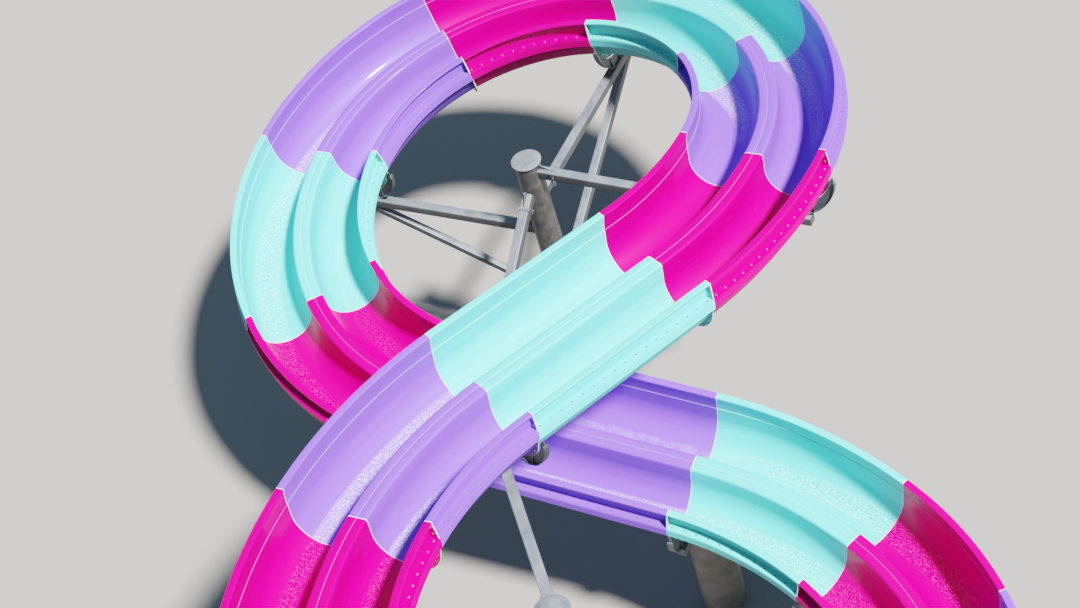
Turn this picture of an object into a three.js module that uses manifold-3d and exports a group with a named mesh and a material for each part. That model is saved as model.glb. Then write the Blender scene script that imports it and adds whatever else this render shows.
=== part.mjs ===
import * as THREE from 'three';
import { mergeVertices } from 'three/addons/utils/BufferGeometryUtils.js';
import Module from 'manifold-3d';

const wasm = await Module();
wasm.setup();
const { Manifold, Mesh: ManifoldMesh } = wasm;

// Run of the slide, millimetres and degrees. Heights are measured from the floor.
const loopRadius = 4000;
const transitionRadius = 6000;
const loopTurn = 45;
const transitionTurn = 25.5;
const exitTurn = 24.5;
const bridgeLength = 3270;
const underpassLength = 4050;
const fall = 0.11;
const bridgeRimHeight = 7110;

// Flume cross-section, seen along the flow; u is across, v is up from the rim.
const rimOuter = 1150;
const rimInner = 1036;
const laneCentre = 608;
const laneRadius = 455;
const laneAxisDepth = 530;
const ridgeHalf = 138;
const ridgeDepth = 250;
const shell = 20;
const seamDepth = 290;
const flangeReach = 1232;
const endFlangeRadius = 545;
const endFlangeThickness = 14;
const flangeValley = 310;
const jointGap = 0.3;

// Steelwork.
const columnRadius = 215;
const capRadius = 250;
const capThickness = 16;
const armSize = 160;
const braceSizes = { 6: 150, 8: 125 };
const stubReach = 455;
const sideStubReach = 330;
const flangeSize = 205;
const flangeThickness = 16;
const gussetHeight = 90;
const gussetThickness = 14;
const saddleDepth = 1260;
const saddleThickness = 90;
const armReach = 4860;

const rad = Math.PI / 180;
const magenta = [0.93, 0.02, 0.55];
const purple = [0.47, 0.3, 0.8];
const aqua = [0.42, 0.83, 0.82];
const steelTint = [0.62, 0.66, 0.68];
const concreteTint = [0.5, 0.46, 0.4];

// Sections in the order of the flow: colour name, tint, centreline length, turn (left positive).
function curved(radius, degrees) {
  return { length: radius * Math.abs(degrees) * rad, turn: degrees * rad };
}
const sections = [
  { colour: 'magenta', tint: magenta, ...curved(transitionRadius, -transitionTurn) },
  { colour: 'purple', tint: purple, ...curved(transitionRadius, -transitionTurn) },
  { colour: 'aqua', tint: aqua, length: bridgeLength, turn: 0 },
  { colour: 'magenta', tint: magenta, ...curved(transitionRadius, transitionTurn) },
  { colour: 'purple', tint: purple, ...curved(loopRadius, loopTurn) },
  { colour: 'aqua', tint: aqua, ...curved(loopRadius, loopTurn) },
  { colour: 'magenta', tint: magenta, ...curved(loopRadius, loopTurn) },
  { colour: 'purple', tint: purple, ...curved(loopRadius, loopTurn) },
  { colour: 'aqua', tint: aqua, ...curved(loopRadius, loopTurn) },
  { colour: 'magenta', tint: magenta, ...curved(loopRadius, loopTurn) },
  { colour: 'purple', tint: purple, length: underpassLength, turn: 0 },
  { colour: 'aqua', tint: aqua, ...curved(transitionRadius, -transitionTurn) },
  { colour: 'magenta', tint: magenta, ...curved(loopRadius, -exitTurn) },
  { colour: 'purple', tint: purple, ...curved(loopRadius, -exitTurn) },
];
const bridgeIndex = 2;

// Plan position and heading after travelling s along one section.
function travel(start, section, s) {
  const k = section.turn / section.length;
  let forward = s;
  let left = 0;
  if (Math.abs(k) > 1e-12) {
    forward = Math.sin(k * s) / k;
    left = (1 - Math.cos(k * s)) / k;
  }
  const c = Math.cos(start.heading);
  const n = Math.sin(start.heading);
  return {
    x: start.x + forward * c - left * n,
    y: start.y + forward * n + left * c,
    z: start.z - fall * s,
    heading: start.heading + k * s,
  };
}

// Joints: joint i is the upstream end of section i. The bridge runs along +X.
const upstream = { x: 0, y: 0, z: 0, heading: 0 };
for (let i = 0; i < bridgeIndex; i++) {
  upstream.heading -= sections[i].turn;
}
const joints = [upstream];
for (const section of sections) {
  joints.push(travel(joints[joints.length - 1], section, section.length));
}
const bridge = joints[bridgeIndex];
const loopStart = joints[bridgeIndex + 2];
const centre = {
  x: loopStart.x - loopRadius * Math.sin(loopStart.heading),
  y: loopStart.y + loopRadius * Math.cos(loopStart.heading),
};
const lift = bridgeRimHeight - bridge.z;
for (const joint of joints) {
  joint.x -= centre.x;
  joint.y -= centre.y;
  joint.z += lift;
}

// Frame of a cross-section: along the flow, to the left, and up square to the slope.
function frameAt(state) {
  const along = new THREE.Vector3(Math.cos(state.heading), Math.sin(state.heading), -fall);
  along.normalize();
  const left = new THREE.Vector3(-Math.sin(state.heading), Math.cos(state.heading), 0);
  const up = new THREE.Vector3().crossVectors(along, left);
  return { origin: new THREE.Vector3(state.x, state.y, state.z), along, left, up };
}
function place(frame, u, v, w = 0) {
  const p = frame.origin.clone();
  p.addScaledVector(frame.left, u);
  p.addScaledVector(frame.up, v);
  p.addScaledVector(frame.along, w);
  return p;
}
function onLane(radius, degrees) {
  const u = laneCentre + radius * Math.cos(degrees * rad);
  return [u, -laneAxisDepth + radius * Math.sin(degrees * rad)];
}

// Outline of one lane's moulding, from the ridge over the rim and back under; mirrored for the other lane.
const arc = [0, -30, -60, -90, -120, -150, -180];
const innerHalf = [
  [ridgeHalf, -ridgeDepth],
  ...arc.slice().reverse().map((a) => onLane(laneRadius, a)),
  [laneCentre + laneRadius - 1, -seamDepth - 20],
  [rimInner, 0],
  [rimOuter, 0],
];
const bodyOuterHalf = [
  [rimOuter, -24],
  [rimInner + 24, -24],
  [laneCentre + laneRadius + shell - 1, -seamDepth],
  [flangeReach - 14, -seamDepth],
  [flangeReach, -450],
  [flangeReach - 18, -450],
  [flangeReach - 32, -seamDepth - 36],
  [laneCentre + laneRadius + shell, -seamDepth - 36],
  ...arc.map((a) => onLane(laneRadius + shell, a)),
  [ridgeHalf - shell, -ridgeDepth - shell],
];
const flangeArc = [-12, -32, -60, -90, -120, -150];
const flangeOuterHalf = [
  [rimOuter, -24],
  [rimOuter + 36, -80],
  [rimOuter + 45, -seamDepth + 8],
  [flangeReach - 14, -seamDepth],
  [flangeReach, -450],
  [flangeReach - 16, -482],
  [flangeReach - 42, -530],
  onLane(endFlangeRadius, -4),
  ...flangeArc.map((a) => onLane(endFlangeRadius, a)),
  [laneCentre - endFlangeRadius, -laneAxisDepth],
  [laneCentre - endFlangeRadius - 1, -flangeValley],
];
function mirrored(half) {
  return half.map(([u, v]) => [-u, v]).reverse();
}
// A section is two mouldings, one for each lane, that meet along the middle of the ridge.
function laneOutline(outerHalf, side, seamBottom) {
  const seam = jointGap / 2;
  const half = [[seam, -ridgeDepth], ...innerHalf, ...outerHalf, [seam, -seamBottom]];
  return side > 0 ? half : mirrored(half);
}

function material(tint, roughness, metalness, name) {
  const m = new THREE.MeshStandardMaterial({ roughness, metalness });
  m.color.setRGB(tint[0], tint[1], tint[2]);
  m.name = name;
  return m;
}
function makeMesh(name, geometry, tint, roughness, metalness, slot) {
  const mesh = new THREE.Mesh(geometry, material(tint, roughness, metalness, slot));
  mesh.name = name;
  return mesh;
}
function signedVolume(points, faces) {
  let total = 0;
  for (const [a, b, c] of faces) {
    total += points[a].dot(points[b].clone().cross(points[c]));
  }
  return total / 6;
}
function solid(points, faces) {
  const order = signedVolume(points, faces) < 0 ? [0, 2, 1] : [0, 1, 2];
  const geometry = new THREE.BufferGeometry();
  const position = [];
  for (const p of points) {
    position.push(p.x, p.y, p.z);
  }
  geometry.setAttribute('position', new THREE.Float32BufferAttribute(position, 3));
  geometry.setIndex(faces.flatMap((f) => order.map((k) => f[k])));
  geometry.computeVertexNormals();
  return geometry;
}

// One lane of a section: the moulding swept along the run, with an end flange at each joint.
function laneGeometry(start, section, side) {
  const bodyOutline = laneOutline(bodyOuterHalf, side, ridgeDepth + shell);
  const flangeOutline = laneOutline(flangeOuterHalf, side, flangeValley);
  const steps = section.turn === 0 ? 1 : Math.ceil(Math.abs(section.turn) / (9.01 * rad));
  const first = jointGap / 2;
  const last = section.length - jointGap / 2;
  const stations = [];
  stations.push([first, flangeOutline], [first + endFlangeThickness, flangeOutline]);
  stations.push([first + endFlangeThickness, bodyOutline]);
  for (let i = 1; i < steps; i++) {
    stations.push([(section.length * i) / steps, bodyOutline]);
  }
  stations.push([last - endFlangeThickness, bodyOutline]);
  stations.push([last - endFlangeThickness, flangeOutline], [last, flangeOutline]);
  const points = [];
  const rings = [];
  let previous = null;
  for (const [s, shape] of stations) {
    const frame = frameAt(travel(start, section, s));
    const ring = shape.map(([u, v], i) => {
      if (previous && previous.s === s) {
        const [pu, pv] = previous.shape[i];
        if (pu === u && pv === v) {
          return previous.ring[i];
        }
      }
      points.push(place(frame, u, v));
      return points.length - 1;
    });
    rings.push(ring);
    previous = { s, shape, ring };
  }
  const faces = [];
  const count = bodyOutline.length;
  for (let r = 0; r + 1 < rings.length; r++) {
    for (let i = 0; i < count; i++) {
      const j = (i + 1) % count;
      const [a, b, c, d] = [rings[r][i], rings[r][j], rings[r + 1][j], rings[r + 1][i]];
      if (a !== b && b !== c && a !== c) {
        faces.push([a, b, c]);
      }
      if (a !== c && c !== d && a !== d) {
        faces.push([a, c, d]);
      }
    }
  }
  const flat = flangeOutline.map(([u, v]) => new THREE.Vector2(u, v));
  const cap = THREE.ShapeUtils.triangulateShape(flat, []);
  const turned = THREE.ShapeUtils.isClockWise(flat);
  for (const [a, b, c] of cap) {
    const start0 = rings[0];
    const end0 = rings[rings.length - 1];
    if (turned) {
      faces.push([start0[a], start0[b], start0[c]], [end0[a], end0[c], end0[b]]);
    } else {
      faces.push([start0[a], start0[c], start0[b]], [end0[a], end0[b], end0[c]]);
    }
  }
  return solid(points, faces);
}

// Flat plate of a given outline in a joint's plane, thick along the flow.
function plateInPlane(frame, shape, thickness, offset = 0) {
  const flat = shape.map(([u, v]) => new THREE.Vector2(u, v));
  const cap = THREE.ShapeUtils.triangulateShape(flat, []);
  const turned = THREE.ShapeUtils.isClockWise(flat);
  const points = [];
  const n = shape.length;
  for (const w of [offset - thickness / 2, offset + thickness / 2]) {
    for (const [u, v] of shape) {
      points.push(place(frame, u, v, w));
    }
  }
  const faces = [];
  for (let i = 0; i < n; i++) {
    const j = (i + 1) % n;
    faces.push([i, j, n + j], [i, n + j, n + i]);
  }
  for (const [a, b, c] of cap) {
    if (turned) {
      faces.push([a, b, c], [n + a, n + c, n + b]);
    } else {
      faces.push([a, c, b], [n + a, n + b, n + c]);
    }
  }
  return solid(points, faces);
}

// Cradle under both lanes: it follows the end flanges and has a flat foot.
function saddleOutline() {
  const clear = endFlangeRadius + 0.75;
  const inner = flangeArc.map((a) => onLane(clear, a));
  const valley = [laneCentre - endFlangeRadius + 8, -laneAxisDepth - 150];
  const tip = [
    [1153.5, -569.5],
    [1192, -531],
    [1222, -486],
  ];
  const outer = [
    [1250, -560],
    [1256, -660],
    [1222, -810],
    [1130, -985],
    [985, -1145],
    [790, -saddleDepth],
  ];
  const half = [valley, ...inner.slice().reverse(), ...tip, ...outer];
  return [...half, ...mirrored(half)];
}

// Straight bar of square section between two points.
function bar(from, to, size, height = size) {
  const axis = to.clone().sub(from);
  const length = axis.length();
  axis.normalize();
  const side = new THREE.Vector3(-axis.y, axis.x, 0).normalize();
  const top = new THREE.Vector3().crossVectors(axis, side);
  const geometry = new THREE.BoxGeometry(length, size, height);
  const basis = new THREE.Matrix4().makeBasis(axis, side, top);
  basis.setPosition(from.clone().add(to).multiplyScalar(0.5));
  geometry.applyMatrix4(basis);
  return geometry;
}
function upright(radius, bottom, top, x, y, sides = 24) {
  const geometry = new THREE.CylinderGeometry(radius, radius, top - bottom, sides);
  geometry.rotateX(Math.PI / 2);
  geometry.translate(x, y, (bottom + top) / 2);
  return geometry;
}
function block(width, depth, height, x, y, z, turn = 0) {
  const geometry = new THREE.BoxGeometry(width, depth, height);
  geometry.rotateZ(turn);
  geometry.translate(x, y, z);
  return geometry;
}
function toManifold(geometry) {
  const clean = geometry.clone();
  clean.deleteAttribute('normal');
  clean.deleteAttribute('uv');
  const merged = mergeVertices(clean, 1e-4);
  const mesh = new ManifoldMesh({
    numProp: 3,
    vertProperties: new Float32Array(merged.attributes.position.array),
    triVerts: new Uint32Array(merged.index.array),
  });
  return new Manifold(mesh);
}
function fromManifold(manifold) {
  const mesh = manifold.getMesh();
  const geometry = new THREE.BufferGeometry();
  geometry.setAttribute('position', new THREE.BufferAttribute(new Float32Array(mesh.vertProperties), 3));
  geometry.setIndex(Array.from(mesh.triVerts));
  geometry.computeVertexNormals();
  return geometry;
}

// Pieces that are welded into one: each reaches a few millimetres into the next.
const weldDepth = 4;
function weld(geometries) {
  const solids = geometries.map(toManifold);
  return fromManifold(solids.reduce((a, b) => a.add(b)));
}

const part = new THREE.Group();
part.name = 'two_lane_water_slide_run';

sections.forEach((section, i) => {
  for (const [side, sideName] of [[1, 'left'], [-1, 'right']]) {
    const name = `flume_${String(i + 1).padStart(2, '0')}_${section.colour}_${sideName}`;
    const geometry = laneGeometry(joints[i], section, side);
    part.add(makeMesh(name, geometry, section.tint, 0.22, 0, `gelcoat_${section.colour}`));
  }
});

function addSteel(name, geometry, slot = 'galvanised_steel') {
  part.add(makeMesh(name, geometry, steelTint, 0.45, 0.85, slot));
}

// Cradles at every second joint, and at the joint that stands on the pier.
// Each is bolted on the upstream or the downstream side of its joint, by its distance along the flow.
const saddleShift = { 0: 0, 2: 40, 4: -30, 6: -40, 8: 60, 10: 60, 11: 50, 12: 0, 14: 0 };
const saddleJoints = Object.keys(saddleShift).map(Number);
for (const i of saddleJoints) {
  const label = String(i).padStart(2, '0');
  const plate = plateInPlane(frameAt(joints[i]), saddleOutline(), saddleThickness, saddleShift[i]);
  addSteel(`saddle_${label}`, plate);
}
function footPoint(i) {
  return place(frameAt(joints[i]), 0, -saddleDepth, saddleShift[i]);
}
function footHeight(i) {
  return place(frameAt(joints[i]), 0, -saddleDepth, saddleShift[i] + saddleThickness / 2).z - jointGap;
}

// Column: round tube with a square base plate welded on, and a crossbeam where it is the head.
const plateThickness = 30;
function addColumn(name, x, y, top, head) {
  const base = block(760, 760, plateThickness, x, y, plateThickness / 2);
  const tube = upright(columnRadius, plateThickness - weldDepth, top, x, y);
  addSteel(name, weld(head ? [base, tube, head] : [base, tube]));
}
function addCap(name, x, y, top) {
  const from = top + jointGap;
  addSteel(name, upright(capRadius, from, from + capThickness, x, y, 28));
}
const centralTop = 5334;
addColumn('central_column', 0, 0, centralTop);
addCap('central_column_cap', 0, 0, centralTop);

// Triangular plate standing on one side of a stub, tallest at the column.
function gusset(root, axis, rise, length) {
  const side = new THREE.Vector3().crossVectors(axis, rise).normalize();
  const low = armSize / 2 - weldDepth;
  const points = [];
  for (const t of [-gussetThickness / 2, gussetThickness / 2]) {
    for (const [w, h] of [[-60, low], [length, low], [-60, low + gussetHeight * (1 + 60 / length)]]) {
      const p = root.clone().addScaledVector(axis, w).addScaledVector(rise, h).addScaledVector(side, t);
      points.push(p);
    }
  }
  const faces = [[0, 1, 2], [3, 5, 4], [0, 3, 4], [0, 4, 1], [1, 4, 5], [1, 5, 2], [2, 5, 3], [2, 3, 0]];
  return solid(points, faces);
}

// Arm: a stub with gussets is welded on the column and ends in a flange plate, and the arm bolts on.
// An arm whose root and head lie at two levels slopes as far as join and is level from there.
function addArm(label, column, target, rootLevel, headLevel, reach, join, flangeReach = stubReach) {
  const turn = Math.atan2(target.y - column.y, target.x - column.x);
  const way = new THREE.Vector3(Math.cos(turn), Math.sin(turn), 0);
  const at = (r, z) => new THREE.Vector3(column.x, column.y, z).addScaledVector(way, r);
  const root = at(columnRadius, rootLevel);
  const axis = join ? at(join, headLevel).sub(root).normalize() : way.clone();
  const across = new THREE.Vector3(-way.y, way.x, 0);
  const rise = new THREE.Vector3().crossVectors(axis, across);
  const length = flangeReach - columnRadius;
  const along = (w) => root.clone().addScaledVector(axis, w);
  const bore = upright(columnRadius + jointGap, rootLevel - 500, rootLevel + 500, column.x, column.y);
  const stub = [
    bar(along(-60), along(length - weldDepth), armSize),
    bar(along(length - flangeThickness), along(length), flangeSize),
    gusset(root, axis, rise, length - flangeThickness),
    gusset(root, axis, rise.clone().negate(), length - flangeThickness),
  ];
  addSteel(`arm_stub_${label}`, fromManifold(toManifold(weld(stub)).subtract(toManifold(bore))));
  const face = length + jointGap;
  const flange = bar(along(face), along(face + flangeThickness), flangeSize);
  if (!join) {
    const beam = bar(along(face + weldDepth), at(reach, headLevel), armSize);
    addSteel(`arm_${label}`, weld([flange, beam]));
    return;
  }
  const sloped = bar(along(face + weldDepth), at(join, headLevel).addScaledVector(axis, 300), armSize);
  const keepTo = join + weldDepth;
  const keep = block(keepTo, 1200, 6000, keepTo / 2, 0, 0);
  keep.rotateZ(turn);
  keep.translate(column.x, column.y, rootLevel);
  const cut = fromManifold(toManifold(sloped).intersect(toManifold(keep)));
  const head = bar(at(join, headLevel), at(reach, headLevel), armSize);
  addSteel(`arm_${label}`, weld([flange, cut, head]));
}
const centreColumn = { x: 0, y: 0 };
for (const i of [4, 6, 8]) {
  const level = footHeight(i) - armSize / 2;
  addArm(String(i).padStart(2, '0'), centreColumn, footPoint(i), level, level, armReach);
}

// Braces from low on the column to the underside of the arms.
function addBrace(index, foot, reach, top) {
  const size = braceSizes[index];
  const target = footPoint(index);
  const turn = Math.atan2(target.y, target.x);
  const way = new THREE.Vector3(Math.cos(turn), Math.sin(turn), 0);
  const from = way.clone().multiplyScalar(columnRadius + 25).setZ(foot);
  const to = way.clone().multiplyScalar(reach).setZ(top);
  const axis = to.clone().sub(from).normalize();
  const rough = bar(from.clone().addScaledVector(axis, -160), to.clone().addScaledVector(axis, 300), size);
  const armUnder = footHeight(index) - armSize - jointGap;
  const above = block(12000, 12000, 4000, 0, 0, armUnder + 2000);
  const tube = upright(columnRadius + jointGap, foot - 800, foot + 800, 0, 0);
  const piece = toManifold(rough).subtract(toManifold(above)).subtract(toManifold(tube));
  addSteel(`brace_${String(index).padStart(2, '0')}`, fromManifold(piece));
}
addBrace(6, bridgeRimHeight - 4620, 3500, bridgeRimHeight - 2880);
addBrace(8, bridgeRimHeight - 5030, 3450, bridgeRimHeight - 3500);

// The underpass joint is carried by an arm that slopes down from the column into a level head.
addArm('10', centreColumn, footPoint(10), bridgeRimHeight - 2370, footHeight(10) - armSize / 2, armReach, 2900);

// Side column on the inside of the entry turn, with a level arm to the third joint
// and an arm that rises to the first one.
const side = { x: bridge.x - 1550, y: bridge.y - 2880 };
const sideTop = bridgeRimHeight - 1130;
addColumn('side_column', side.x, side.y, sideTop);
addCap('side_column_cap', side.x, side.y, sideTop);
function reachOver(i) {
  const foot = footPoint(i);
  return Math.hypot(foot.x - side.x, foot.y - side.y) + 860;
}
const sideLevel = footHeight(2) - armSize / 2;
addArm('02', side, footPoint(2), sideLevel, sideLevel, reachOver(2), 0, sideStubReach);
addArm('00', side, footPoint(0), sideLevel, footHeight(0) - armSize / 2, reachOver(0), 2150, sideStubReach);

// Concrete pier with a short steel stub under the underpass exit.
const pierRadius = 350;
const pierTop = 2000;
const pierFoot = footPoint(11);
const pier = upright(pierRadius, 0, pierTop, pierFoot.x, pierFoot.y, 32);
part.add(makeMesh('pier_11', pier, concreteTint, 0.9, 0, 'concrete'));

// Level crossbeam under a cradle, welded on the post that carries it.
function crossbeam(i) {
  const frame = frameAt(joints[i]);
  const level = footHeight(i) - armSize / 2;
  const from = footPoint(i).addScaledVector(frame.left, -900).setZ(level);
  const to = footPoint(i).addScaledVector(frame.left, 900).setZ(level);
  return bar(from, to, armSize);
}
const stubFrom = pierTop + jointGap;
const stubPlate = block(
  460, 460, plateThickness,
  pierFoot.x, pierFoot.y, stubFrom + plateThickness / 2,
  joints[11].heading,
);
const stubBottom = stubFrom + plateThickness - weldDepth;
const stubTop = footHeight(11) - armSize + weldDepth;
const stub = upright(135, stubBottom, stubTop, pierFoot.x, pierFoot.y, 20);
addSteel('pier_head_11', weld([stubPlate, stub, crossbeam(11)]));
for (const i of [12, 14]) {
  const foot = footPoint(i);
  addColumn(`exit_column_${i}`, foot.x, foot.y, footHeight(i) - armSize + weldDepth, crossbeam(i));
}

export default part;
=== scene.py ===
import math
import bmesh
import bpy
from mathutils import Matrix, Vector
from mathutils.geometry import tessellate_polygon


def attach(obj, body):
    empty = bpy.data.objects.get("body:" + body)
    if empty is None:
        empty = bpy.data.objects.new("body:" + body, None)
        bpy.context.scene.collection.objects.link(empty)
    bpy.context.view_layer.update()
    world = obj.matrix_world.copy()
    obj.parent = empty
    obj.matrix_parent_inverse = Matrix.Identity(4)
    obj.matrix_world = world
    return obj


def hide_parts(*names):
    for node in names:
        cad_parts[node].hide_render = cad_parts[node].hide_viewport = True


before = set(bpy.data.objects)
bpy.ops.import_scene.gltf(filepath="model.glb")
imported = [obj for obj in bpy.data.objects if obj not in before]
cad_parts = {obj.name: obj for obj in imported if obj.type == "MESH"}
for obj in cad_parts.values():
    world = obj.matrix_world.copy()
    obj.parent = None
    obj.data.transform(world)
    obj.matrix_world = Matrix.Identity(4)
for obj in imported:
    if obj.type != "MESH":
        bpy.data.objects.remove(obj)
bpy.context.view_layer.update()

print("stage: frame loaded,", len(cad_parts), "nodes")

# The run of the slide: lengths in metres, turns in degrees, left is positive
run = {
    "loopRadius": 4.0,
    "transitionRadius": 6.0,
    "bridgeLength": 3.27,
    "underpassLength": 4.05,
    "fall": 0.11,
    "bridgeRimHeight": 7.11,
    "bridgeSection": 2,
}


def bend(radius, degrees):
    return (radius * abs(math.radians(degrees)), math.radians(degrees))


sections = [
    ("magenta", *bend(run["transitionRadius"], -25.5)),
    ("purple", *bend(run["transitionRadius"], -25.5)),
    ("aqua", run["bridgeLength"], 0.0),
    ("magenta", *bend(run["transitionRadius"], 25.5)),
    ("purple", *bend(run["loopRadius"], 45)),
    ("aqua", *bend(run["loopRadius"], 45)),
    ("magenta", *bend(run["loopRadius"], 45)),
    ("purple", *bend(run["loopRadius"], 45)),
    ("aqua", *bend(run["loopRadius"], 45)),
    ("magenta", *bend(run["loopRadius"], 45)),
    ("purple", run["underpassLength"], 0.0),
    ("aqua", *bend(run["transitionRadius"], -25.5)),
    ("magenta", *bend(run["loopRadius"], -24.5)),
    ("purple", *bend(run["loopRadius"], -24.5)),
]


def travel(start, length, turn, s):
    # plan position, height and heading after s metres of a section
    x, y, z, heading = start
    k = turn / length
    forward, left = s, 0.0
    if abs(k) > 1e-9:
        forward = math.sin(k * s) / k
        left = (1 - math.cos(k * s)) / k
    c, n = math.cos(heading), math.sin(heading)
    return (x + forward * c - left * n, y + forward * n + left * c, z - run["fall"] * s, heading + k * s)


def layJoints():
    joints = [(0.0, 0.0, 0.0, -(sections[0][2] + sections[1][2]))]
    for colour, length, turn in sections:
        joints.append(travel(joints[-1], length, turn, length))
    loopStart = joints[run["bridgeSection"] + 2]
    cx = loopStart[0] - run["loopRadius"] * math.sin(loopStart[3])
    cy = loopStart[1] + run["loopRadius"] * math.cos(loopStart[3])
    lift = run["bridgeRimHeight"] - joints[run["bridgeSection"]][2]
    return [(x - cx, y - cy, z + lift, h) for x, y, z, h in joints]


joints = layJoints()


def crossFrame(state):
    # origin on the ridge line at rim level, then along the flow, left, and up square to the slope
    x, y, z, heading = state
    along = Vector((math.cos(heading), math.sin(heading), -run["fall"])).normalized()
    left = Vector((-math.sin(heading), math.cos(heading), 0))
    return Vector((x, y, z)), along, left, along.cross(left)


def frameAt(i, s):
    # frame of the cross-section s metres along section i
    colour, length, turn = sections[i]
    return crossFrame(travel(joints[i], length, turn, s))


def place(cf, u, v, w=0.0):
    return cf[0] + cf[2] * u + cf[3] * v + cf[1] * w


# Gelcoat: the dry colour; for the water film the painted glint tone (light), the painted trough shade tone
# (dark) and how strongly each shows, with the painted sheen and the painted edge highlight
gelcoat = {
    "magenta": {
        "tone": (0.50, 0.0, 0.125), "bead": (0.90, 0.09, 0.36), "specular": 0.08, "streak": 0.35,
        "light": (0.95, 0.030, 0.24), "dark": (0.14, 0.0, 0.045),
        "paintedGlint": 0.85, "paintedTroughShade": 0.75, "paintedSheen": 0.0, "paintedEdgeHighlight": 0.08,
    },
    "purple": {
        "tone": (0.145, 0.070, 0.62), "bead": (0.34, 0.24, 0.88), "specular": 0.12, "streak": 0.8,
        "light": (0.50, 0.42, 0.92), "dark": (0.070, 0.036, 0.26),
        "paintedGlint": 0.95, "paintedTroughShade": 0.60, "paintedSheen": 0.24, "paintedEdgeHighlight": 0.18,
    },
    "aqua": {
        "tone": (0.110, 0.60, 0.61), "bead": (0.32, 0.88, 0.90), "specular": 0.20, "streak": 1.0,
        "light": (0.40, 0.91, 0.90), "dark": (0.035, 0.26, 0.29),
        "paintedGlint": 0.60, "paintedTroughShade": 0.70, "paintedSheen": 0.06, "paintedEdgeHighlight": 0.12,
    },
    "roughness": 0.46,
    "wetRoughness": 0.12,
    "rubbedRoughness": 0.10,
    "coat": 0.12,
    "coatRoughness": 0.08,
    "streakDepth": 0.12,
    "cloudDepth": 0.25,
    "hairDepth": 0.12,
    "rippleScale": 40.0,
    "dropScale": 32.0,
    "ragged": 0.8,
    "filmEdge": 2.2,
    "waterBump": 0.7,
    "bumpHeight": 0.012,
    # painted shade: how far the back of the moulding is darkened
    "backPaintedShade": 0.55,
}


black, white = (0, 0, 0), (1, 1, 1)


def newObject(name, data):
    thing = bpy.data.objects.new(name, data)
    bpy.context.collection.objects.link(thing)
    return thing


def newMaterial(name, roughness, metallic=0.0):
    mat = bpy.data.materials.new(name)
    mat.use_nodes = True
    shader = mat.node_tree.nodes["Principled BSDF"]
    shader.inputs["Roughness"].default_value = roughness
    shader.inputs["Metallic"].default_value = metallic
    return mat, mat.node_tree, shader


def node(tree, kind, **settings):
    n = tree.nodes.new(kind)
    for key, value in settings.items():
        if key in n.inputs:
            n.inputs[key].default_value = value
        else:
            setattr(n, key, value)
    return n


def ramp(tree, source, stops):
    n = tree.nodes.new("ShaderNodeValToRGB")
    while len(n.color_ramp.elements) > len(stops):
        n.color_ramp.elements.remove(n.color_ramp.elements[-1])
    while len(n.color_ramp.elements) < len(stops):
        n.color_ramp.elements.new(1.0)
    for element, (at, colour) in zip(n.color_ramp.elements, stops):
        element.position = at
        element.color = (*colour, 1)
    tree.links.new(source, n.inputs["Fac"])
    return n.outputs["Color"]


def mixColour(tree, factor, a, b, blend="MIX"):
    n = tree.nodes.new("ShaderNodeMix")
    n.data_type = "RGBA"
    n.blend_type = blend
    for socket, value in ((n.inputs[0], factor), (n.inputs[6], a), (n.inputs[7], b)):
        if isinstance(value, bpy.types.NodeSocket):
            tree.links.new(value, socket)
        elif isinstance(value, (int, float)):
            socket.default_value = value
        else:
            socket.default_value = (*value, 1)
    return n.outputs[2]


def math2(tree, operation, a, b=0.0, clamp=False):
    n = tree.nodes.new("ShaderNodeMath")
    n.operation = operation
    n.use_clamp = clamp
    for socket, value in ((n.inputs[0], a), (n.inputs[1], b)):
        if isinstance(value, bpy.types.NodeSocket):
            tree.links.new(value, socket)
        else:
            socket.default_value = value
    return n.outputs[0]


def addBump(tree, shader, height, strength, distance):
    bump = node(tree, "ShaderNodeBump", Strength=strength, Distance=distance)
    tree.links.new(height, bump.inputs["Height"])
    tree.links.new(bump.outputs[0], shader.inputs["Normal"])


def laidIn(tree, source, kind, **settings):
    # texture laid by the given coordinates
    texture = node(tree, kind, **settings)
    tree.links.new(source, texture.inputs["Vector"])
    return texture


def inObject(tree, kind, **settings):
    # texture laid through the piece in its own coordinates
    return laidIn(tree, node(tree, "ShaderNodeTexCoord").outputs["Object"], kind, **settings)


def filmOnLane(tree, uv):
    # where the water runs, drawn by the wet attribute with a ragged edge
    wet = node(tree, "ShaderNodeAttribute", attribute_name="wet").outputs["Fac"]
    edge = laidIn(tree, uv, "ShaderNodeTexNoise", Scale=5.0, Detail=4.0, Roughness=0.6)
    ragged = math2(tree, "MULTIPLY", math2(tree, "SUBTRACT", edge.outputs["Fac"], 0.5), gelcoat["ragged"])
    steep = math2(tree, "MULTIPLY", wet, gelcoat["filmEdge"])
    return math2(tree, "MULTIPLY", math2(tree, "ADD", wet, ragged), steep, clamp=True)


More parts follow.
